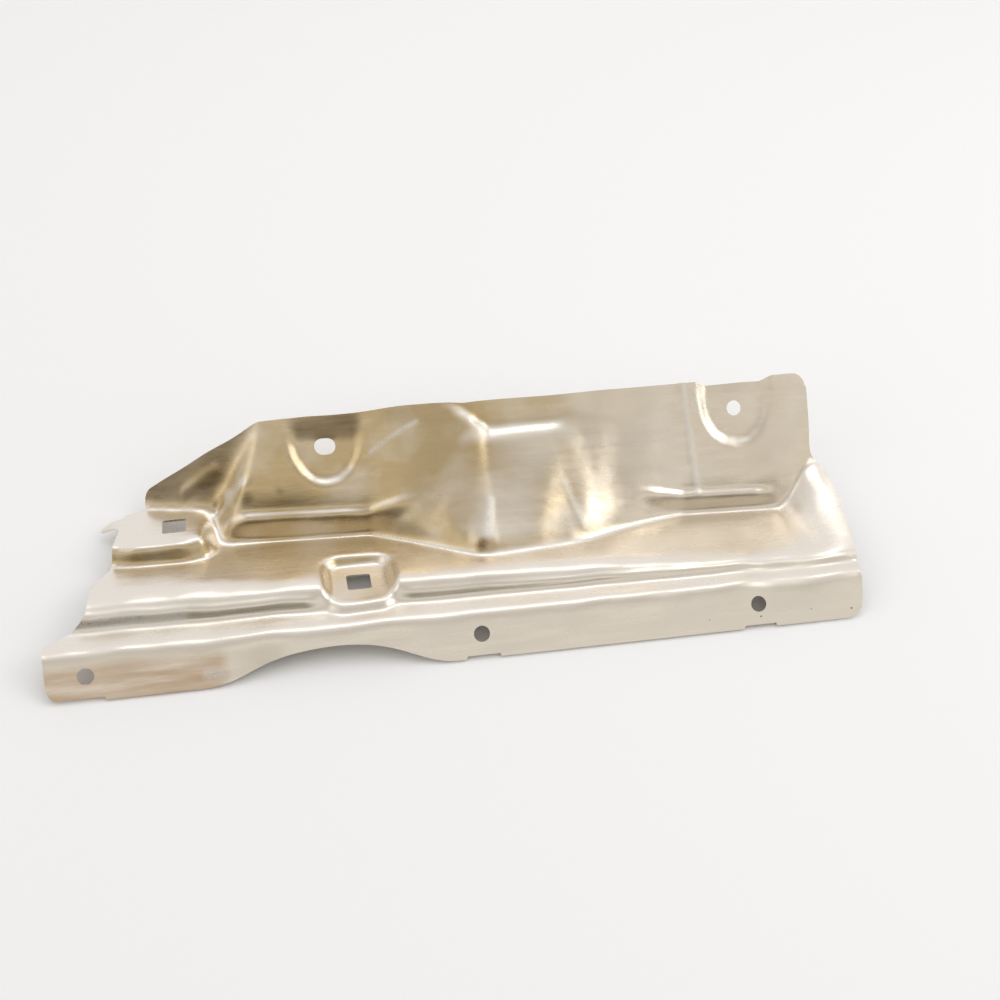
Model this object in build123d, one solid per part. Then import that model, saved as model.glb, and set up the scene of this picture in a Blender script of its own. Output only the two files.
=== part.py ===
from build123d import *
import math
import os

# A pressed steel heat shield, made as one thin sheet. It lies on the front edge of its flange and the
# foot of its trough. X runs along the shield, with zero near the middle flange hole, Y runs back from
# the flange and Z is up. From front to back the sheet has a sloping flange, a narrow ledge, a stiffening
# rib, a trough and a tall back panel. Sizes are in millimetres and degrees.

# Sheet
sheet_thickness = 1.0
bend_blend = 3.0

# Flange and ledge along the front
flange_angle = 39.0
ledge_angle = -17.0
flange_depth = 16.4
front_edge = -1.2

# Stiffening rib between the ledge and the trough, with its lines at the left and right ends
rib_left = -190.0
rib_right = 190.0
rib_foot_left = 31.6
rib_foot_right = 25.8
rib_wall_angle = 45.0
rib_top_angle = 1.0
rib_full_x = -20.0
rib_low_x = 160.0
rib_full_height = 7.2
rib_low_height = 2.8

# Trough, with its floor line at two stations along the shield, and the wall that rises at its right end
trough_left = -102.0
trough_right = 152.0
trough_back_left = 85.0
trough_back_right = 75.6
trough_level = -1.2
trough_blend = 1.5
trough_slope_left = -23.1
trough_slope_right = -18.0
trough_turn_start = 50.0
trough_turn_end = 150.0
end_wall_front_x = 182.0
end_wall_back_x = 176.0
end_wall_front_y = 40.0
end_wall_back_y = 78.0
end_wall_front_slope = 0.35
end_wall_back_slope = 0.95

# Back panel above the trough
panel_angle = 43.0
back_wall_angle = 61.2
crease_height_left = 14.0
crease_height_right = 10.4
back_wall_steepness = 1.6
foot_lift_left = 6.4
foot_lift_right = 4.5
foot_lift_bulge = 1.3

# Bulge in the middle of the back panel
bulge_left = -46.0
bulge_full_left = 8.0
bulge_full_right = 64.0
bulge_right = 122.0
bulge_side_blend = 0.2
bulge_middle = 40.0
bulge_face_y = 103.1
bulge_face_height = 34.0
bulge_face_slope = 0.56
bulge_face_lean = -0.05
bulge_kick_y = 58.0
bulge_kick_height = 12.1
bulge_kick_slope = 0.38
bulge_kick_lean = -0.12
bulge_roof_y = 116.5
bulge_roof_slope = 0.97
bulge_roof_set_back = 12.0
bulge_roof_left_start = 20.0
bulge_roof_left_end = 0.0
bulge_roof_right_start = 56.0
bulge_roof_right_end = 88.0

# Set back facet at the left end of the panel, and the cheek that joins it to the panel
facet_x = -150.0
facet_y = 109.3
facet_height = 3.2
facet_slope = 1.3
facet_lean = 0.35
cheek_low_y = 97.0
cheek_high_y = 126.0
cheek_low_x = -115.0
cheek_high_x = -98.0
cheek_slope = 1.3

# Recessed seats round the two panel holes
seat_depth = 4.0
seat_wall = 6.0
left_seat_x = -65.3
left_seat_half_width = 14.7
left_seat_low_y = 105.6
left_seat_fade_y = 119.5
left_seat_end_y = 127.0
right_seat_x = 153.8
right_seat_half_width = 15.0
right_seat_low_y = 103.8
right_seat_fade_y = 128.0
right_seat_end_y = 136.0

# Raised pad at the left end with a short tongue beside it, and sunk pad in the rib, both parallel to the ledge
raised_pad_left = -176.0
raised_pad_right = -131.0
raised_pad_front = 77.0
raised_pad_height = 13.3
raised_pad_corner = 6.0
raised_pad_wall = 6.5
tongue_length = 30.0
tongue_front = 90.0
tongue_height = 2.6
sunk_pad_left = -69.5
sunk_pad_right = -41.5
sunk_pad_front = 29.5
sunk_pad_back = 59.5
sunk_pad_height = 13.2
sunk_pad_corner = 5.0
sunk_pad_wall = 4.5

# Holes
round_hole_diameter = 8.0
flange_hole_xs = (-188.5, 1.0, 142.9)
flange_hole_y = 8.1
panel_hole_y = 114.8
slot_length = 11.0
slot_width = 8.5
slot_y = 117.0
square_hole_side = 12.0
square_hole_corner = 1.0
raised_pad_hole_x = -145.3
raised_pad_hole_y = 92.9
sunk_pad_hole_y = 46.3

# Outline in plan: corners as x, y and rounding radius, from the front left corner, clockwise
front_left = (-207.0, front_edge, 7.0)
left_side = (
    (-208.2, 24.0, 2.0),
    (-188.0, 36.2, 6.0),
    (-185.4, 57.0, 10.0),
    (-177.6, 70.0, 6.0),
    (-172.8, 95.0, 2.0),
    (-184.6, 98.8, 0.8),
    (-171.2, 104.0, 2.0),
    (-170.0, 107.0, 1.0),
    (-160.0, 109.0, 1.0),
    (-160.0, 116.8, 4.0),
)
top_side = (
    (-100.0, 127.2, 20.0),
    (194.3, 124.4, 8.0),
)
right_side = (
    (194.3, 96.0, 6.0),
    (201.0, 86.0, 8.0),
    (203.6, 66.0, 30.0),
    (199.0, 18.0, 60.0),
)
front_right = (197.6, front_edge, 8.0)

# Front edge details: a low arch and a shallow notch under each flange hole
arch_left = -134.0
arch_right = -12.0
arch_top_x = -73.0
arch_height = 10.7
arch_shoulder_left = (-107.4, 5.8)
arch_shoulder_right = (-40.0, 6.6)
notch_depth = 1.2
notch_width = 17.0

# Rows of points between the bends, sections along the sheet and reach of the cutting blocks
row_counts = (9, 6, 22, 4, 17)
bend_gap = 2.4
search_steps = 30
station_pitch = 12.0
station_gap = 1.6
seat_station_shares = (0.38, 0.74)
sheet_margin = 6.0
cut_reach = 120.0
hole_reach = 12.0
slope_step = 0.02


def tangent(angle):
    return math.tan(math.radians(angle))


def line(value, start, end, at_start, at_end):
    """Straight line through two values, carried on past both ends."""
    return at_start + (at_end - at_start) * (value - start) / (end - start)


def held(value, start, end, at_start, at_end):
    """Straight line between two values, held level past both ends."""
    share = min(max((value - start) / (end - start), 0.0), 1.0)
    return at_start + (at_end - at_start) * share


def lower(a, b, blend):
    """The lower of two heights, rounded where they meet."""
    near = max(blend - abs(a - b), 0.0) / blend
    return min(a, b) - near * near * blend / 4


def upper(a, b, blend):
    """The higher of two heights, rounded where they meet."""
    return -lower(-a, -b, blend)


def ease(share):
    share = min(max(share, 0.0), 1.0)
    return share * share * (3 - 2 * share)


def inside_box(x, y, left, right, front, back, corner):
    """Distance inside a rectangle with round corners, below zero outside."""
    across = abs(x - (left + right) / 2) - (right - left) / 2 + corner
    along = abs(y - (front + back) / 2) - (back - front) / 2 + corner
    outside = math.hypot(max(across, 0.0), max(along, 0.0))
    return corner - outside - min(max(across, along), 0.0)


def front_and_ledge(y):
    flange = tangent(flange_angle) * y
    ledge = tangent(flange_angle) * flange_depth + tangent(ledge_angle) * (y - flange_depth)
    return lower(flange, ledge, bend_blend)


def trough(x, y):
    back = line(x, trough_left, trough_right, trough_back_left, trough_back_right)
    slope = held(x, trough_turn_start, trough_turn_end, tangent(trough_slope_left), tangent(trough_slope_right))
    floor = upper(trough_level + slope * (y - back), trough_level, trough_blend)
    end_x = line(y, end_wall_front_y, end_wall_back_y, end_wall_front_x, end_wall_back_x)
    end_slope = held(y, end_wall_front_y, end_wall_back_y, end_wall_front_slope, end_wall_back_slope)
    return upper(floor, floor + end_slope * (x - end_x), bend_blend)


def rib(x, y, trough_height):
    foot_y = line(x, rib_left, rib_right, rib_foot_left, rib_foot_right)
    foot_z = tangent(flange_angle) * flange_depth + tangent(ledge_angle) * (foot_y - flange_depth)
    rise = held(x, rib_full_x, rib_low_x, rib_full_height, rib_low_height)
    wall = foot_z + tangent(rib_wall_angle) * (y - foot_y)
    shoulder_y = foot_y + rise / tangent(rib_wall_angle)
    top = foot_z + rise + tangent(rib_top_angle) * (y - shoulder_y)
    return lower(lower(wall, top, bend_blend), trough_height, bend_blend)


def bulge_share(x):
    """How far the bulge stands out at x: zero past its sides, one across its middle."""
    left = line(x, bulge_left, bulge_full_left, 0.0, 1.0)
    right = line(x, bulge_right, bulge_full_right, 0.0, 1.0)
    return max(lower(lower(left, right, bulge_side_blend), 1.0, bulge_side_blend), 0.0)


def bulge(x, y, panel):
    """Height of the bulge above the plain panel."""
    lean = x - bulge_middle
    face = bulge_face_height + bulge_face_slope * (y - bulge_face_y) + bulge_face_lean * lean
    kick = bulge_kick_height + bulge_kick_slope * (y - bulge_kick_y) + bulge_kick_lean * lean
    left_back = line(x, bulge_roof_left_start, bulge_roof_left_end, 0.0, bulge_roof_set_back)
    right_back = line(x, bulge_roof_right_start, bulge_roof_right_end, 0.0, bulge_roof_set_back)
    roof_y = bulge_roof_y + max(upper(left_back, right_back, bend_blend), 0.0)
    stand = upper(face, kick, bend_blend) - panel
    stand = lower(stand, bulge_roof_slope * (roof_y - y), bend_blend)
    return max(stand, 0.0) * bulge_share(x)


def facet(x, y):
    return facet_height + facet_slope * (y - facet_y) + facet_lean * (x - facet_x)


def seat(x, y, middle, half_width, low_y, fade_y, end_y):
    """Depth of a recessed seat with a round lower end, fading out towards the top edge."""
    centre_y = low_y + half_width
    reach = abs(x - middle) if y > centre_y else math.hypot(x - middle, y - centre_y)
    return seat_depth * ease((half_width - reach) / seat_wall + 1) * held(y, fade_y, end_y, 1.0, 0.0)


def bulged_panel(x, y):
    """The panel with its bulge, before its left end is set back and its seats are sunk."""
    foot_y = line(x, trough_left, trough_right, trough_back_left, trough_back_right)
    crease = line(x, trough_left, trough_right, crease_height_left, crease_height_right)
    crease_y = foot_y + crease / tangent(back_wall_angle)
    plain = trough_level + crease + tangent(panel_angle) * (y - crease_y)
    return plain + bulge(x, y, plain)


def back_panel(x, y):
    panel = bulged_panel(x, y)
    cheek_x = line(y, cheek_low_y, cheek_high_y, cheek_low_x, cheek_high_x)
    cheek = panel + cheek_slope * (x - cheek_x)
    panel = lower(panel, upper(cheek, facet(x, y), bend_blend), bend_blend)
    panel -= seat(
        x, y, left_seat_x, left_seat_half_width, left_seat_low_y, left_seat_fade_y, left_seat_end_y
    )
    panel -= seat(
        x, y, right_seat_x, right_seat_half_width, right_seat_low_y, right_seat_fade_y, right_seat_end_y
    )
    return panel


def height(x, y):
    """Height of the sheet's upper side."""
    base = trough(x, y)
    panel = back_panel(x, y)
    back_wall = base + back_wall_steepness * (panel - base - foot_lift(x))
    rear = upper(rib(x, y, base), lower(back_wall, panel, bend_blend), bend_blend)
    z = upper(front_and_ledge(y), rear, bend_blend)

    tongue_left = raised_pad_left - tongue_length
    depth = inside_box(
        x, y, tongue_left, raised_pad_left, tongue_front, cut_reach * 2, raised_pad_corner
    )
    z += (tongue_height - z) * ease(depth / raised_pad_wall + 1)

    pad = raised_pad_height + tangent(ledge_angle) * (y - raised_pad_front)
    pad = upper(pad, facet(x, y), bend_blend)
    depth = inside_box(
        x, y, raised_pad_left, raised_pad_right, raised_pad_front, cut_reach * 2, raised_pad_corner
    )
    z += (pad - z) * ease(depth / raised_pad_wall + 1)

    pad = sunk_pad_height + tangent(ledge_angle) * (y - sunk_pad_front)
    depth = inside_box(
        x, y, sunk_pad_left, sunk_pad_right, sunk_pad_front, sunk_pad_back, sunk_pad_corner
    )
    return z + (pad - z) * ease(depth / sunk_pad_wall + 1)


def slopes(x, y):
    along = (height(x + slope_step, y) - height(x - slope_step, y)) / (2 * slope_step)
    back = (height(x, y + slope_step) - height(x, y - slope_step)) / (2 * slope_step)
    return along, back


def foot_lift(x):
    """How far the panel stands above the trough floor where the back wall starts."""
    share = bulge_share(x)
    plain = line(x, trough_left, trough_right, foot_lift_left, foot_lift_right)
    return plain * (1 - share) + foot_lift_bulge * share


def rise_line(x, rise, front, back):
    """Y at which the bulged panel stands the given rise above the trough floor."""
    for _ in range(search_steps):
        middle = (front + back) / 2
        if bulged_panel(x, middle) - trough(x, middle) < rise:
            front = middle
        else:
            back = middle
    return (front + back) / 2


def rows(x, front, back):
    """Y of each row of points at x. The rows follow the bends, so that a bend stays on its row."""
    foot_y = line(x, rib_left, rib_right, rib_foot_left, rib_foot_right)
    lift = foot_lift(x)
    wall_y = rise_line(x, lift, foot_y + bend_gap, back - 2 * bend_gap)
    crease_rise = lift * back_wall_steepness / (back_wall_steepness - 1)
    crease_y = rise_line(x, crease_rise, wall_y + bend_gap, back - bend_gap)
    guides = [front, flange_depth, foot_y, wall_y, crease_y, back]
    places = [front]
    for start, end, count in zip(guides, guides[1:], row_counts):
        places += [start + (end - start) * step / count for step in range(1, count + 1)]
    return places


def section(x, places, knots):
    """Closed section of the sheet at x."""
    top, under = [], []
    for y in places:
        z = height(x, y)
        along, steep = slopes(x, y)
        stretch = math.hypot(1.0, steep)
        through = sheet_thickness * math.hypot(stretch, along) / stretch
        top.append((x, y, z))
        under.append((x, y + through * steep / stretch, z - through / stretch))
    upper_side = Edge.make_spline(top, parameters=knots)
    lower_side = Edge.make_spline(under, parameters=knots)
    front_side = Edge.make_line(top[0], under[0])
    back_side = Edge.make_line(top[-1], under[-1])
    return Wire([upper_side, back_side, lower_side, front_side])


def blank_sheet(front, back, left, right):
    """The pressed sheet before it is trimmed, lofted through its sections."""
    places = stations(left, right)
    sections = [rows(x, front, back) for x in places]
    average = [sum(row) / len(places) for row in zip(*sections)]
    knots = [(y - front) / (back - front) for y in average]
    return Solid.make_loft([section(x, row, knots) for x, row in zip(places, sections)], ruled=True)


def wall_lines(start, end, parts=2):
    return [start + (end - start) * part / parts for part in range(parts + 1)]


def seat_lines(middle, half_width):
    lines = []
    for side in (-1, 1):
        lines += wall_lines(middle + side * half_width, middle + side * (half_width + seat_wall))
        lines += [middle + side * half_width * share for share in seat_station_shares]
    return lines + [middle]


def stations(left, right):
    """Places along X where a section is taken: close at the walls, and wider apart between them."""
    lines = [left, right]
    lines += wall_lines(raised_pad_left - raised_pad_wall, raised_pad_left)
    lines += wall_lines(raised_pad_right, raised_pad_right + raised_pad_wall)
    lines += wall_lines(sunk_pad_left - sunk_pad_wall, sunk_pad_left)
    lines += wall_lines(sunk_pad_right, sunk_pad_right + sunk_pad_wall)
    lines += wall_lines(raised_pad_right + raised_pad_wall, cheek_low_x, 3)
    lines += wall_lines(cheek_low_x, cheek_high_x, 5)
    lines += [bulge_left, bulge_full_left, bulge_full_right, bulge_right]
    lines += wall_lines(bulge_roof_left_end, bulge_roof_left_start, 4)
    lines += wall_lines(bulge_roof_right_start, bulge_roof_right_end, 5)
    lines += wall_lines(end_wall_back_x, right, 7)
    lines += seat_lines(left_seat_x, left_seat_half_width)
    lines += seat_lines(right_seat_x, right_seat_half_width)
    lines = sorted(place for place in lines if left <= place <= right)
    kept = [lines[0]]
    for place in lines[1:]:
        if place - kept[-1] < station_gap:
            continue
        parts = math.ceil((place - kept[-1]) / station_pitch)
        start = kept[-1]
        kept += [start + (place - start) * part / parts for part in range(1, parts + 1)]
    return kept


def outline():
    """Plan outline of the sheet, with its arch and edge notches."""
    corners = (front_left,) + left_side + top_side + right_side + (front_right,)
    points = [(x, y) for x, y, radius in corners]
    radii = [radius for x, y, radius in corners]
    face = make_face(FilletPolyline(*points, radius=radii, close=True))
    arch = Spline(
        (arch_left, front_edge),
        (arch_shoulder_left[0], front_edge + arch_shoulder_left[1]),
        (arch_top_x, front_edge + arch_height),
        (arch_shoulder_right[0], front_edge + arch_shoulder_right[1]),
        (arch_right, front_edge),
        tangents=((1, 0), (1, 0)),
    )
    below = Polyline(
        (arch_right, front_edge),
        (arch_right, front_edge - arch_height),
        (arch_left, front_edge - arch_height),
        (arch_left, front_edge),
    )
    face -= make_face([arch, below])
    for number, x in enumerate(flange_hole_xs):
        right = x + notch_width / 2
        left = front_left[0] - notch_width if number == 0 else x - notch_width / 2
        face -= Pos((left + right) / 2, front_edge) * Rectangle(right - left, notch_depth * 2)
    return face


def normal_at(x, y):
    """Place on the sheet at x and y, with its Z along the sheet's own normal."""
    along, back = slopes(x, y)
    return Plane((x, y, height(x, y)), x_dir=(1, 0, along), z_dir=(-along, -back, 1))


def cutters():
    places = [(x, flange_hole_y) for x in flange_hole_xs] + [(right_seat_x, panel_hole_y)]
    tools = [normal_at(x, y) * Cylinder(round_hole_diameter / 2, hole_reach) for x, y in places]
    slot = extrude(SlotOverall(slot_length, slot_width), hole_reach / 2, both=True)
    tools.append(normal_at(left_seat_x, slot_y) * slot)
    square = RectangleRounded(square_hole_side, square_hole_side, square_hole_corner)
    square = extrude(square, hole_reach / 2, both=True)
    tools.append(normal_at(raised_pad_hole_x, raised_pad_hole_y) * square)
    tools.append(normal_at((sunk_pad_left + sunk_pad_right) / 2, sunk_pad_hole_y) * square)
    return tools


plan = outline()
reach = plan.bounding_box()
blank = blank_sheet(
    reach.min.Y - sheet_margin,
    reach.max.Y + sheet_margin,
    reach.min.X - sheet_margin,
    reach.max.X + sheet_margin,
)
shield = blank & extrude(plan, cut_reach, both=True)
shield -= cutters()
box = shield.bounding_box()
shield = Pos(-box.center().X, -box.center().Y, -box.min.Z) * shield
shield.label = "heat_shield"
os.makedirs("parts", exist_ok=True)
export_step(shield, "parts/heat_shield.step")
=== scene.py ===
import math
import bpy
import numpy as np
from mathutils import Matrix, Vector
from mathutils.bvhtree import BVHTree


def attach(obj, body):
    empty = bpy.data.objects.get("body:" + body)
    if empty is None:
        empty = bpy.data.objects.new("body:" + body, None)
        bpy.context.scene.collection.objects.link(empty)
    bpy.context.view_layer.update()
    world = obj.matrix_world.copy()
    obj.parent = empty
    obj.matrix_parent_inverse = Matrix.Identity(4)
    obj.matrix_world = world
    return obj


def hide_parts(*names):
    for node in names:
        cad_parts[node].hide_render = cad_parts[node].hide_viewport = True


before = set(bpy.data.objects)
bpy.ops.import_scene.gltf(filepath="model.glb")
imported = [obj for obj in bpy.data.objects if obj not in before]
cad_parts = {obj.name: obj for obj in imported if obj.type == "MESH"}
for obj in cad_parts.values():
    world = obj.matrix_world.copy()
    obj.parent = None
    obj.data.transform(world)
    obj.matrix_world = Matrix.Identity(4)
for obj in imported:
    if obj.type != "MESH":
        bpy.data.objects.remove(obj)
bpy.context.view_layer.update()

# The shield's form.
# One thin steel sheet, pressed in a die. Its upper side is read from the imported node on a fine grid, so
# that the visual sheet has the same folds, holes and cut edges as the solid.
SHEET = 0.001
GRID = 0.001
LEAST_FACING = 0.02
SKIN = 0.02
REACH = 3.5
EDGE_STEPS = 12
SMOOTHING = 3
NEIGHBOURS = (
    (0, 0, 4), (1, 0, 2), (-1, 0, 2), (0, 1, 2), (0, -1, 2),
    (1, 1, 1), (1, -1, 1), (-1, 1, 1), (-1, -1, 1),
)
GRID_MARGIN = 0.6
FLANGE_DEPTH = 0.013
DIP_WIDTH = 0.003
CLEARANCE = 0.05
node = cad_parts["heat_shield"]
node_points = np.empty(len(node.data.vertices) * 3)
node.data.vertices.foreach_get("co", node_points)
node_points = node_points.reshape(-1, 3)
node.data.calc_loop_triangles()
node_faces = np.empty(len(node.data.loop_triangles) * 3, dtype=np.int32)
node.data.loop_triangles.foreach_get("vertices", node_faces)
node_faces = node_faces.reshape(-1, 3)
low, high = node_points.min(axis=0), node_points.max(axis=0)


def upper_faces():
    """The node's triangles on the sheet's upper side: those with the underside one thickness below."""
    whole = BVHTree.FromPolygons(node_points.tolist(), node_faces.tolist())
    corners = node_points[node_faces]
    normals = np.cross(corners[:, 1] - corners[:, 0], corners[:, 2] - corners[:, 0])
    lengths = np.linalg.norm(normals, axis=1)
    kept = []
    for index in np.flatnonzero(lengths > 0):
        normal = Vector(normals[index] / lengths[index])
        if normal.z < LEAST_FACING:
            continue
        start = Vector(corners[index].mean(axis=0)) - normal * SHEET * SKIN
        if whole.ray_cast(start, -normal, SHEET * REACH)[0] is not None:
            kept.append(node_faces[index].tolist())
    return BVHTree.FromPolygons(node_points.tolist(), kept)


upper_side = upper_faces()
overhead = high[2] + CLEARANCE


def spot_below(x, y):
    """The place on the sheet's upper side below a point, or None past its edges."""
    return upper_side.ray_cast(Vector((x, y, overhead)), Vector((0, 0, -1)))[0]


def height_at(x, y):
    """Height of the upper side, or None past its edges. Small dips on the level flange are filled."""
    spot = spot_below(x, y)
    if spot is None:
        return None
    if y > low[1] + FLANGE_DEPTH:
        return spot.z
    beside = (spot, spot_below(x - DIP_WIDTH, y), spot_below(x + DIP_WIDTH, y))
    return max(found.z for found in beside if found is not None)


columns = math.ceil((high[0] - low[0]) / GRID) + 2
rows = math.ceil((high[1] - low[1]) / GRID) + 2
grid_x = low[0] - GRID * GRID_MARGIN + GRID * np.arange(columns)
grid_y = low[1] - GRID * GRID_MARGIN + GRID * np.arange(rows)
heights = np.zeros((columns, rows))
inside = np.zeros((columns, rows), dtype=bool)
for i in range(columns):
    for j in range(rows):
        z = height_at(grid_x[i], grid_y[j])
        if z is not None:
            heights[i, j] = z
            inside[i, j] = True


def smoothed(field):
    """Softens the field by one grid step, away from the sheet's edges."""
    around = np.zeros_like(field)
    whole = np.ones_like(inside)
    total = sum(weight for _, _, weight in NEIGHBOURS)
    for across, back, weight in NEIGHBOURS:
        around += weight / total * np.roll(field, (across, back), (0, 1))
        whole &= np.roll(inside, (across, back), (0, 1))
    return np.where(whole, around, field)


for _ in range(SMOOTHING):
    heights = smoothed(heights)

# Marks of the press and of handling, on the same sheet.
# The panel isn't quite flat: it has soft waves, a round bump, a crumpled corner beside the raised pad, and
# sharp creases where the sheet was nipped. A rolled lip stands over the trough's back wall and the rib's.
# Each crease has a start, an end, a rise and a half width.
WAVE_SEED = 4
WAVE_COUNT = 9
WAVE_LONGEST = 0.060
WAVE_SHORTEST = 0.018
WAVE_STEEPNESS = 0.11
WAVE_LOW = 0.006
WAVE_FULL = 0.020
WAVE_TOP = 0.008
BUMP = (-0.1060, 0.0394)
BUMP_RADIUS = 0.0065
BUMP_HEIGHT = 0.0014
LUMP = (-0.1205, 0.0400)
LUMP_RADIUS = 0.0100
LUMP_HEIGHT = 0.0022
LUMP_DIMPLE = 0.0044
LUMP_DIMPLE_DEPTH = 0.0018
CREASES = (
    ((-0.1366, 0.0497), (-0.1200, 0.0535), 0.0006, 0.0032),
    ((-0.0877, 0.0383), (-0.0877, 0.0507), 0.0003, 0.0032),
    ((0.1280, 0.0613), (0.1319, 0.0200), 0.0004, 0.0032),
    ((0.0187, 0.0150), (0.0146, -0.0016), 0.0001, 0.0032),
    ((0.0590, 0.0226), (0.0666, 0.0024), 0.0001, 0.0032),
    ((0.0130, 0.0420), (0.0125, -0.0030), 0.0010, 0.0090),
    ((0.0650, 0.0410), (0.0685, 0.0060), 0.0004, 0.0090),
)
WALL_ENDS = (-0.102, 0.152)
WALL_FOOT = (0.0215, 0.0122)
WALL_DEPTH = (0.0105, 0.0080)
WALL_SWELL = (0.0040, 0.0030)
WALL_STRETCH = (-0.118, -0.106, -0.055, -0.015, 0.095, 0.128, 0.164, 0.178)
WALL_SHARE = (0, 1, 1, 0, 0, 1, 1, 0)
RIB_ENDS = (-0.188, 0.192)
RIB_FOOT = (-0.0316, -0.0374)
RIB_DEPTH = (0.0085, 0.0040)
RIB_SWELL = (0.0017, 0.0008)
RIB_STRETCH = (-0.080, -0.073, -0.035, -0.028)
RIB_SHARE = (1, 0, 0, 1)
CHEEK = (-0.1110, 0.0420)
CHEEK_RADIUS = (0.030, 0.040)
CHEEK_SOFTENING = 30
SHARP_ANGLE = 50
sheet_x, sheet_y = np.meshgrid(grid_x, grid_y, indexing="ij")


def from_line(start, end, x, y):
    """Distance of each place from a straight line between two points, in plan."""
    along = np.subtract(end, start)
    share = ((x - start[0]) * along[0] + (y - start[1]) * along[1]) / along.dot(along)
    share = np.clip(share, 0, 1)
    return np.hypot(x - start[0] - share * along[0], y - start[1] - share * along[1])


def hill(distance, radius):
    """A round hill of height one that ends at its radius."""
    return np.clip(1 - (distance / radius) ** 2, 0, None) ** 2


dice = np.random.default_rng(WAVE_SEED)
wave_lengths = dice.uniform(WAVE_SHORTEST, WAVE_LONGEST, WAVE_COUNT)
wave_turns = dice.uniform(0, math.tau, WAVE_COUNT)
wave_starts = dice.uniform(0, math.tau, WAVE_COUNT)


def swell(x, y, ends, foot, depth, rise):
    """A swelling up a wall, between a foot line and its depth, which makes a lip over a steep foot."""
    along = (x - ends[0]) / (ends[1] - ends[0])
    sizes_here = [left + (right - left) * along for left, right in (foot, depth, rise)]
    foot_here, depth_here, rise_here = sizes_here
    return rise_here * np.sin(math.pi * np.clip((y - foot_here) / depth_here, 0, 1)) ** 2


def marked(x, y, z):
    """Height of the sheet at a place, with its waves, lips, bump, lump and creases."""
    waves = np.zeros_like(z)
    for length, turn, start in zip(wave_lengths, wave_turns, wave_starts):
        swing = WAVE_STEEPNESS * length / math.tau / math.sqrt(WAVE_COUNT)
        phase = math.tau * (x * math.cos(turn) + y * math.sin(turn)) / length + start
        waves += swing * np.sin(phase)
    marks = waves * np.clip((z - WAVE_LOW) / (WAVE_FULL - WAVE_LOW), 0, 1)
    marks *= np.clip((high[2] - z) / WAVE_TOP, 0, 1)
    wall_lip = swell(x, y, WALL_ENDS, WALL_FOOT, WALL_DEPTH, WALL_SWELL)
    marks += wall_lip * np.interp(x, WALL_STRETCH, WALL_SHARE)
    rib_lip = swell(x, y, RIB_ENDS, RIB_FOOT, RIB_DEPTH, RIB_SWELL)
    marks += rib_lip * np.interp(x, RIB_STRETCH, RIB_SHARE)
    marks += BUMP_HEIGHT * hill(np.hypot(x - BUMP[0], y - BUMP[1]), BUMP_RADIUS)
    from_lump = np.hypot(x - LUMP[0], y - LUMP[1])
    marks += LUMP_HEIGHT * hill(from_lump, LUMP_RADIUS)
    marks -= LUMP_DIMPLE_DEPTH * hill(from_lump, LUMP_DIMPLE)
    for start, end, rise, width in CREASES:
        marks += rise * hill(from_line(start, end, x, y), width)
    return z + marks


soft = heights
for _ in range(CHEEK_SOFTENING):
    soft = smoothed(soft)
from_cheek = np.hypot((sheet_x - CHEEK[0]) / CHEEK_RADIUS[0], (sheet_y - CHEEK[1]) / CHEEK_RADIUS[1])
heights = heights + (soft - heights) * hill(from_cheek, 1.0)
heights = marked(sheet_x, sheet_y, heights)
points = []
faces = []
place = -np.ones((columns, rows), dtype=int)
for i, j in np.argwhere(inside):
    place[i, j] = len(points)
    points.append((grid_x[i], grid_y[j], heights[i, j]))
edge_points = {}


def edge_point(kept, lost):
    """Index of the point where the sheet ends between a grid point on it and one past its edge."""
    key = (kept, lost)
    if key not in edge_points:
        on = Vector((grid_x[kept[0]], grid_y[kept[1]]))
        off = Vector((grid_x[lost[0]], grid_y[lost[1]]))
        z = height_at(on.x, on.y)
        for _ in range(EDGE_STEPS):
            middle = (on + off) / 2
            found = height_at(middle.x, middle.y)
            if found is None:
                off = middle
            else:
                on = middle
                z = found
        edge_points[key] = len(points)
        points.append((on.x, on.y, float(marked(on.x, on.y, np.float64(z)))))
    return edge_points[key]


for i in range(columns - 1):
    for j in range(rows - 1):
        ring = ((i, j), (i + 1, j), (i + 1, j + 1), (i, j + 1))
        if not any(inside[corner] for corner in ring):
            continue
        face = []
        for here, there in zip(ring, ring[1:] + ring[:1]):
            if inside[here]:
                face.append(place[here])
            if inside[here] and not inside[there]:
                face.append(edge_point(here, there))
            elif inside[there] and not inside[here]:
                face.append(edge_point(there, here))
        if len(face) > 2:
            faces.append(face)

top = bpy.data.meshes.new("sheet_top")
top.from_pydata(points, [], faces)
top_normals = np.empty(len(points) * 3)
top.vertex_normals.foreach_get("vector", top_normals)
top_normals = top_normals.reshape(-1, 3)
points = np.array(points)
under = np.clip(points - SHEET * top_normals, low, high)
sides = {}
for face in faces:
    for start, end in zip(face, face[1:] + face[:1]):
        if sides.pop((end, start), None) is None:
            sides[(start, end)] = True
count = len(points)
walls = [(end, start, start + count, end + count) for start, end in sides]
shut = [[index + count for index in reversed(face)] for face in faces]
mesh = bpy.data.meshes.new("heat_shield_sheet")
mesh.from_pydata(np.vstack((points, under)).tolist(), [], faces + shut + walls)
bpy.data.meshes.remove(top)
mesh.shade_smooth()
mesh.set_sharp_from_angle(angle=math.radians(SHARP_ANGLE))
shield = bpy.data.objects.new("heat_shield_sheet", mesh)
bpy.context.scene.collection.objects.link(shield)

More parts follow.
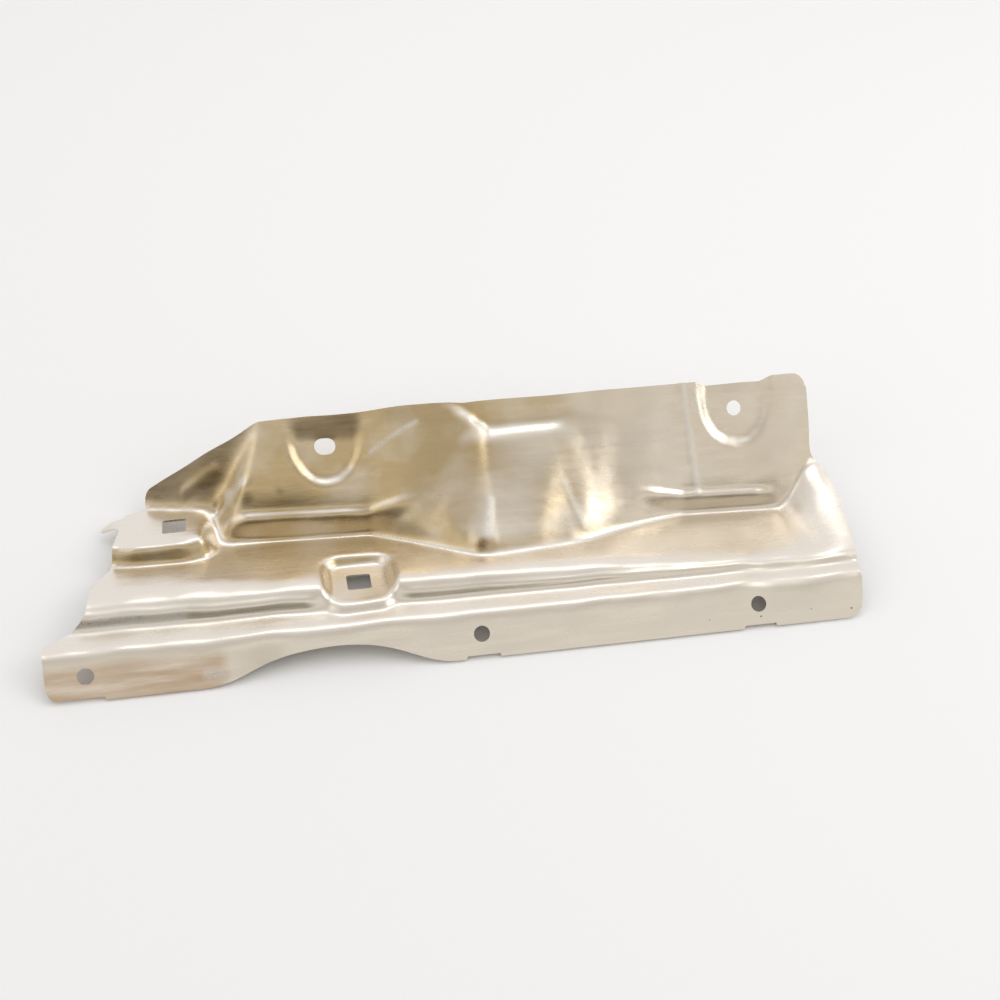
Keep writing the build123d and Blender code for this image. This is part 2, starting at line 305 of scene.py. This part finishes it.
# The steel's finish.
# Bare rolled steel with a fine grain along the shield. Heat has turned the tall panel straw, more so at
# its left, and the left end of the flange rosy brown. The straw is laid only on steep faces turned to the
# camera, so there it is also painted shade that darkens those faces. White scuffs run along the nips,
# with specks of grime on the flange and a rust spot.
STRAW_AND_SHADE_LEFT = 1.0
STRAW_AND_SHADE_RIGHT = 0.30
STRAW_LEFT_X = 0.02
STRAW_RIGHT_X = 0.09
STRAW_ELSEWHERE = 0.05
STEEP_LOW = 0.30
STEEP_HIGH = 0.60
PANEL_FRONT = -0.020
ROSY_RIGHT = -0.118
ROSY_BACK = -0.0485
ROSY_FADE = 0.006
SCUFFS = (
    ((0.0191, 0.0154), (0.0146, -0.0016), 0.0036),
    ((0.0587, 0.0226), (0.0666, 0.0024), 0.0022),
    ((0.0753, 0.0163), (0.0723, 0.0072), 0.0028),
    ((0.1280, 0.0613), (0.1319, 0.0200), 0.0032),
    ((-0.1302, -0.0592), (-0.1232, -0.0598), 0.0036),
    ((-0.0400, 0.0480), (-0.0150, 0.0560), 0.0018),
    ((-0.1950, -0.0300), (-0.1400, -0.0290), 0.0050),
)
RUST = (0.0109, -0.0058)
RUST_RADIUS = 0.0045
GRIME_BACK = -0.0545
GRIME_LEFT = 0.040

x, y = points[:, 0], points[:, 1]
# Painted shade: the straw share follows how steeply the sheet faces the camera, so steep faces turned to
# the camera are darkened as well as tinted.
steep = -top_normals[:, 1] / np.maximum(top_normals[:, 2], LEAST_FACING)
panel_share = np.clip((steep - STEEP_LOW) / (STEEP_HIGH - STEEP_LOW), 0, 1) * (y > PANEL_FRONT)
straw_and_shade_here = np.interp(x, (STRAW_LEFT_X, STRAW_RIGHT_X), (STRAW_AND_SHADE_LEFT, STRAW_AND_SHADE_RIGHT))
straw_and_shade = STRAW_ELSEWHERE + (straw_and_shade_here - STRAW_ELSEWHERE) * panel_share
rosy = np.clip((ROSY_RIGHT - x) / ROSY_FADE, 0, 1) * np.clip((ROSY_BACK - y) / ROSY_FADE, 0, 1)
scuff = np.zeros(count)
for start, end, width in SCUFFS:
    scuff = np.maximum(scuff, hill(from_line(start, end, x, y), width))
rust = hill(np.hypot(x - RUST[0], y - RUST[1]), RUST_RADIUS)
grime = np.clip((GRIME_BACK - y) / ROSY_FADE, 0, 1) * np.clip((x - GRIME_LEFT) / ROSY_FADE, 0, 1)
for name, values in (("straw_and_shade", straw_and_shade), ("rosy", rosy), ("scuff", scuff), ("rust", rust), ("grime", grime)):
    layer = mesh.attributes.new(name, "FLOAT", "POINT")
    layer.data.foreach_set("value", np.concatenate((values, values)))

PALE_STEEL = (0.86, 0.80, 0.71, 1)
# The straw colour is partly heat tint and partly painted shade on the steep faces turned to the camera.
STRAW_AND_SHADE_STEEL = (0.60, 0.465, 0.265, 1)
ROSY_STEEL = (0.64, 0.48, 0.34, 1)
SCUFFED_STEEL = (0.90, 0.88, 0.84, 1)
RUST_BROWN = (0.16, 0.07, 0.04, 1)
GRIME_BROWN = (0.10, 0.08, 0.06, 1)
EVEN = (1.0, 1.0, 1.0)
GRAIN_STRETCH = (0.045, 1.0, 1.0)
STREAK_STRETCH = (0.10, 1.0, 1.0)
DENT_STRETCH = (0.7, 1.0, 1.0)
CLOUD_SIZE = 38.0
GRAIN_SIZE = 1500.0
STREAK_SIZE = 260.0
FLECK_SIZE = 2400.0
DENT_SIZE = 110.0
SPECK_SIZE = 170.0
FINE_DETAIL = 4.0
GRAIN_DETAIL = 3.0
DENT_DETAIL = 2.0
STRAW_AND_SHADE_BY_CLOUD = (0.30, 0.62, 0.55, 1.15)
ROSY_BY_STREAK = (0.30, 0.66, 0.35, 1.0)
SCUFF_BY_FLECK = (0.36, 0.66)
RUST_BY_FLECK = (0.30, 0.55)
SPECK_EDGE = (0.10, 0.05)
ROUGH_BY_STREAK = (0.25, 0.75, 0.22, 0.36)
ROUGH_BY_SCUFF = (0.0, 1.0, 0.0, 0.30)
GRAIN_STRENGTH = 0.22
GRAIN_HEIGHT = 0.00012
DENT_STRENGTH = 0.25
DENT_HEIGHT = 0.0006
steel = bpy.data.materials.new("tinted_steel")
steel.use_nodes = True
nodes, links = steel.node_tree.nodes, steel.node_tree.links
shader = nodes["Principled BSDF"]
shader.inputs["Metallic"].default_value = 1.0
place_on = nodes.new("ShaderNodeTexCoord").outputs["Object"]


def stretched_noise(stretch, detail, size):
    """Noise on the steel, stretched along the shield by its three scales."""
    mapping = nodes.new("ShaderNodeMapping")
    mapping.inputs["Scale"].default_value = stretch
    noise = nodes.new("ShaderNodeTexNoise")
    noise.inputs["Scale"].default_value = size
    noise.inputs["Detail"].default_value = detail
    links.new(place_on, mapping.inputs["Vector"])
    links.new(mapping.outputs["Vector"], noise.inputs["Vector"])
    return noise.outputs["Fac"]


def between(value, from_low, from_high, to_low=0.0, to_high=1.0):
    """Stretches a value from one range to another, held at both ends."""
    spread = nodes.new("ShaderNodeMapRange")
    spread.inputs["From Min"].default_value = from_low
    spread.inputs["From Max"].default_value = from_high
    spread.inputs["To Min"].default_value = to_low
    spread.inputs["To Max"].default_value = to_high
    links.new(value, spread.inputs["Value"])
    return spread.outputs["Result"]


def times(first, second):
    """The product of two values, held between nought and one."""
    product = nodes.new("ShaderNodeMath")
    product.operation = "MULTIPLY"
    product.use_clamp = True
    links.new(first, product.inputs[0])
    links.new(second, product.inputs[1])
    return product.outputs["Value"]


def layer_value(name):
    """A value that the mesh holds at each point."""
    layer = nodes.new("ShaderNodeAttribute")
    layer.attribute_name = name
    return layer.outputs["Fac"]


def coloured(under_colour, colour, share):
    """Lays a colour over another by a share."""
    mix = nodes.new("ShaderNodeMix")
    mix.data_type = "RGBA"
    links.new(share, mix.inputs["Factor"])
    if isinstance(under_colour, tuple):
        mix.inputs[6].default_value = under_colour
    else:
        links.new(under_colour, mix.inputs[6])
    mix.inputs[7].default_value = colour
    return mix.outputs[2]


cloud = stretched_noise(EVEN, FINE_DETAIL, CLOUD_SIZE)
grain = stretched_noise(GRAIN_STRETCH, GRAIN_DETAIL, GRAIN_SIZE)
streak = stretched_noise(STREAK_STRETCH, GRAIN_DETAIL, STREAK_SIZE)
flecks = stretched_noise(EVEN, FINE_DETAIL, FLECK_SIZE)
dents = stretched_noise(DENT_STRETCH, DENT_DETAIL, DENT_SIZE)

# Straw share: heat tint together with painted shade on the steep faces turned to the camera.
straw_and_shade_share = times(layer_value("straw_and_shade"), between(cloud, *STRAW_AND_SHADE_BY_CLOUD))
colour = coloured(PALE_STEEL, STRAW_AND_SHADE_STEEL, straw_and_shade_share)
rosy_share = times(layer_value("rosy"), between(streak, *ROSY_BY_STREAK))
colour = coloured(colour, ROSY_STEEL, rosy_share)
scuff_share = times(layer_value("scuff"), between(flecks, *SCUFF_BY_FLECK))
colour = coloured(colour, SCUFFED_STEEL, scuff_share)
rust_share = times(layer_value("rust"), between(flecks, *RUST_BY_FLECK))
colour = coloured(colour, RUST_BROWN, rust_share)
specks = nodes.new("ShaderNodeTexVoronoi")
specks.inputs["Scale"].default_value = SPECK_SIZE
links.new(place_on, specks.inputs["Vector"])
speck_share = times(layer_value("grime"), between(specks.outputs["Distance"], *SPECK_EDGE))
colour = coloured(colour, GRIME_BROWN, speck_share)
links.new(colour, shader.inputs["Base Color"])

rough = nodes.new("ShaderNodeMath")
rough.operation = "ADD"
links.new(between(streak, *ROUGH_BY_STREAK), rough.inputs[0])
links.new(between(scuff_share, *ROUGH_BY_SCUFF), rough.inputs[1])
links.new(rough.outputs["Value"], shader.inputs["Roughness"])
grain_bump = nodes.new("ShaderNodeBump")
grain_bump.inputs["Strength"].default_value = GRAIN_STRENGTH
grain_bump.inputs["Distance"].default_value = GRAIN_HEIGHT
links.new(grain, grain_bump.inputs["Height"])
dent_bump = nodes.new("ShaderNodeBump")
dent_bump.inputs["Strength"].default_value = DENT_STRENGTH
dent_bump.inputs["Distance"].default_value = DENT_HEIGHT
links.new(dents, dent_bump.inputs["Height"])
links.new(dent_bump.outputs["Normal"], grain_bump.inputs["Normal"])
links.new(grain_bump.outputs["Normal"], shader.inputs["Normal"])

mesh.materials.append(steel)
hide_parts("heat_shield")
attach(shield, "root")

# The studio: a plain pale floor under a soft sky that is bright behind and above, and dim low down on the
# camera's side, with a small soft lamp up behind the shield and a large one at each end. Each lamp has a
# name, a place, a width and depth, and a power.
FLOOR = 3.0
FLOOR_WHITE = (0.97, 0.97, 0.97, 1)
FLOOR_ROUGHNESS = 0.8
SKY_UP = (0.15, 0.92, 0.36)
SKY_STOPS = (
    (0.05, (0.05, 0.04, 0.03, 1)),
    (0.18, (0.27, 0.24, 0.20, 1)),
    (0.29, (0.97, 0.95, 0.91, 1)),
    (0.42, (0.60, 0.58, 0.55, 1)),
    (0.58, (0.62, 0.60, 0.58, 1)),
    (0.80, (0.84, 0.84, 0.85, 1)),
    (0.96, (0.92, 0.92, 0.95, 1)),
)
LAMPS = (
    ("back_softbox", (0.10, 0.55, 1.00), (0.80, 0.35), 1.1),
    ("left_softbox", (-1.20, -0.10, 0.95), (0.90, 0.90), 1.5),
    ("right_softbox", (1.20, -0.10, 0.95), (0.90, 0.90), 4.2),
)
floor_mesh = bpy.data.meshes.new("floor")
floor_corners = [(-FLOOR, -FLOOR, 0), (FLOOR, -FLOOR, 0), (FLOOR, FLOOR, 0), (-FLOOR, FLOOR, 0)]
floor_mesh.from_pydata(floor_corners, [], [(0, 1, 2, 3)])
floor = bpy.data.objects.new("floor", floor_mesh)
bpy.context.scene.collection.objects.link(floor)
pale = bpy.data.materials.new("pale_floor")
pale.use_nodes = True
floor_shader = pale.node_tree.nodes["Principled BSDF"]
floor_shader.inputs["Base Color"].default_value = FLOOR_WHITE
floor_shader.inputs["Roughness"].default_value = FLOOR_ROUGHNESS
floor_mesh.materials.append(pale)

world = bpy.data.worlds.new("studio")
bpy.context.scene.world = world
world.use_nodes = True
sky_nodes, sky_links = world.node_tree.nodes, world.node_tree.links
direction = sky_nodes.new("ShaderNodeTexCoord")
towards = sky_nodes.new("ShaderNodeVectorMath")
towards.operation = "DOT_PRODUCT"
towards.inputs[1].default_value = SKY_UP
sky_links.new(direction.outputs["Generated"], towards.inputs[0])
sky_share = sky_nodes.new("ShaderNodeMapRange")
sky_share.inputs["From Min"].default_value = -1.0
sky_share.inputs["From Max"].default_value = 1.0
sky_links.new(towards.outputs["Value"], sky_share.inputs["Value"])
ramp = sky_nodes.new("ShaderNodeValToRGB")
sky_links.new(sky_share.outputs["Result"], ramp.inputs["Fac"])
stops = ramp.color_ramp.elements
while len(stops) < len(SKY_STOPS):
    stops.new(1.0)
for stop, (position, sky_colour) in zip(stops, SKY_STOPS):
    stop.position = position
    stop.color = sky_colour
sky_links.new(ramp.outputs["Color"], sky_nodes["Background"].inputs["Color"])

for name, lamp_place, lamp_size, power in LAMPS:
    lamp = bpy.data.lights.new(name, "AREA")
    lamp.shape = "RECTANGLE"
    lamp.size, lamp.size_y = lamp_size
    lamp.energy = power
    softbox = bpy.data.objects.new(name, lamp)
    softbox.location = lamp_place
    softbox.rotation_euler = (-softbox.location).to_track_quat("-Z", "Y").to_euler()
    bpy.context.scene.collection.objects.link(softbox)

# The camera, at the photograph's viewing angle: its place in metres, and its turns in degrees. The tilt is
# measured from level, and a camera that isn't turned looks straight down.
CAMERA_PLACE = (-0.08594, -0.44709, 0.58821)
CAMERA_HEADING = -13.29
CAMERA_TILT = -49.85
CAMERA_ROLL = 4.87
LEVEL = 90
LENS = 51.48
SENSOR = 36.0
lens = bpy.data.cameras.new("camera")
lens.sensor_width = SENSOR
lens.lens = LENS
camera = bpy.data.objects.new("camera", lens)
camera.matrix_world = (
    Matrix.Translation(CAMERA_PLACE)
    @ Matrix.Rotation(math.radians(CAMERA_HEADING), 4, "Z")
    @ Matrix.Rotation(math.radians(LEVEL + CAMERA_TILT), 4, "X")
    @ Matrix.Rotation(math.radians(CAMERA_ROLL), 4, "Z")
)
bpy.context.scene.collection.objects.link(camera)
bpy.context.scene.camera = camera
bpy.context.scene.view_settings.view_transform = "Standard"
